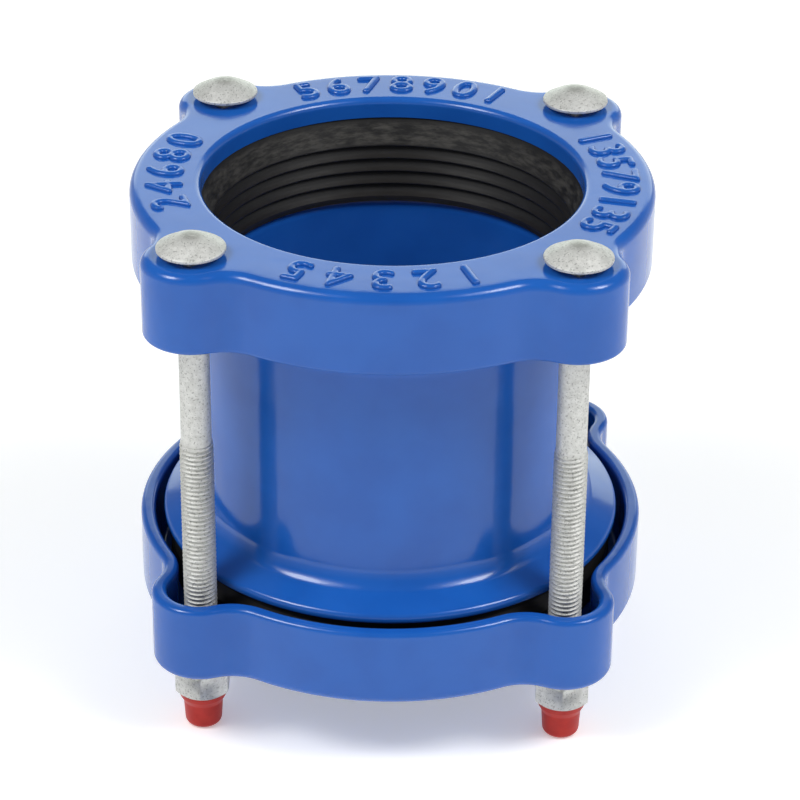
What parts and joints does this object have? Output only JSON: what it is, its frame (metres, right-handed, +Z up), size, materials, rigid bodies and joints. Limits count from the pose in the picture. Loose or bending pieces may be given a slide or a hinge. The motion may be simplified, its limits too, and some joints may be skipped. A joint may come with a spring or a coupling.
{
  "type": "flexible pipe coupling",
  "caption": "Flexible coupling for plain pipe ends: bolted flange rings squeeze ribbed wedge gaskets onto a flared centre sleeve, with caps over the bolt ends.",
  "frame": {"origin": "on the coupling's axis, on the floor under the closed ends of the thread caps", "axes": "+Z up along the axis to the bolt heads, -Y to the front of the picture, the bolts at 45 degrees to it"},
  "size_m": [0.187, 0.187, 0.1985],
  "materials": {
    "blue_coat": "glossy blue epoxy coat on ductile iron",
    "rubber": "matte black moulded rubber",
    "galvanised": "mottled hot-dip galvanised steel",
    "red_plastic": "satin red plastic"
  },
  "bodies": {
    "upper_ring_and_bolts": {"upper_ring": "blue_coat", "upper_gasket": "rubber", "bolt_front_left": "galvanised", "bolt_front_right": "galvanised", "bolt_back_right": "galvanised", "bolt_back_left": "galvanised"},
    "lower_ring": {"lower_ring": "blue_coat", "lower_gasket": "rubber", "washer_front_left": "galvanised", "washer_front_right": "galvanised", "washer_back_right": "galvanised", "washer_back_left": "galvanised"},
    "sleeve": {"sleeve": "blue_coat"},
    "nut_front_left": {"nut_front_left": "galvanised"},
    "thread_cap_front_left": {"thread_cap_front_left": "red_plastic"},
    "nut_front_right": {"nut_front_right": "galvanised"},
    "thread_cap_front_right": {"thread_cap_front_right": "red_plastic"},
    "nut_back_right": {"nut_back_right": "galvanised"},
    "thread_cap_back_right": {"thread_cap_back_right": "red_plastic"},
    "nut_back_left": {"nut_back_left": "galvanised"},
    "thread_cap_back_left": {"thread_cap_back_left": "red_plastic"}
  },
  "joints": [
    {"name": "ring_travel", "type": "slide", "parent": "upper_ring_and_bolts", "child": "lower_ring", "axis": [0, 0, 1], "range_m": [0, 0.01], "deforming": ["lower_gasket"]},
    {"name": "sleeve_travel", "type": "slide", "parent": "upper_ring_and_bolts", "child": "sleeve", "axis": [0, 0, 1], "range_m": [0, 0.005], "deforming": ["upper_gasket"]},
    {"name": "nut_turn_front_left", "type": "hinge", "parent": "lower_ring", "child": "nut_front_left", "pos_m": [-0.06541, -0.06541, 0.02], "axis": [0, 0, 1], "range_deg": [0, 2058]},
    {"name": "nut_turn_front_right", "type": "hinge", "parent": "lower_ring", "child": "nut_front_right", "pos_m": [0.06541, -0.06541, 0.02], "axis": [0, 0, 1], "range_deg": [0, 2058]},
    {"name": "nut_turn_back_right", "type": "hinge", "parent": "lower_ring", "child": "nut_back_right", "pos_m": [0.06541, 0.06541, 0.02], "axis": [0, 0, 1], "range_deg": [0, 2058]},
    {"name": "nut_turn_back_left", "type": "hinge", "parent": "lower_ring", "child": "nut_back_left", "pos_m": [-0.06541, 0.06541, 0.02], "axis": [0, 0, 1], "range_deg": [0, 2058]},
    {"name": "cap_pull_front_left", "type": "slide", "parent": "upper_ring_and_bolts", "child": "thread_cap_front_left", "axis": [0, 0, -1], "range_m": [0, 0.02]},
    {"name": "cap_pull_front_right", "type": "slide", "parent": "upper_ring_and_bolts", "child": "thread_cap_front_right", "axis": [0, 0, -1], "range_m": [0, 0.02]},
    {"name": "cap_pull_back_right", "type": "slide", "parent": "upper_ring_and_bolts", "child": "thread_cap_back_right", "axis": [0, 0, -1], "range_m": [0, 0.02]},
    {"name": "cap_pull_back_left", "type": "slide", "parent": "upper_ring_and_bolts", "child": "thread_cap_back_left", "axis": [0, 0, -1], "range_m": [0, 0.02]}
  ],
  "couplings": [
    {"joint": "sleeve_travel", "follows": "ring_travel", "ratio": 0.5},
    {"joint": "nut_turn_front_left", "follows": "ring_travel", "rad_per_m": 3590.4},
    {"joint": "nut_turn_front_right", "follows": "ring_travel", "rad_per_m": 3590.4},
    {"joint": "nut_turn_back_right", "follows": "ring_travel", "rad_per_m": 3590.4},
    {"joint": "nut_turn_back_left", "follows": "ring_travel", "rad_per_m": 3590.4}
  ]
}
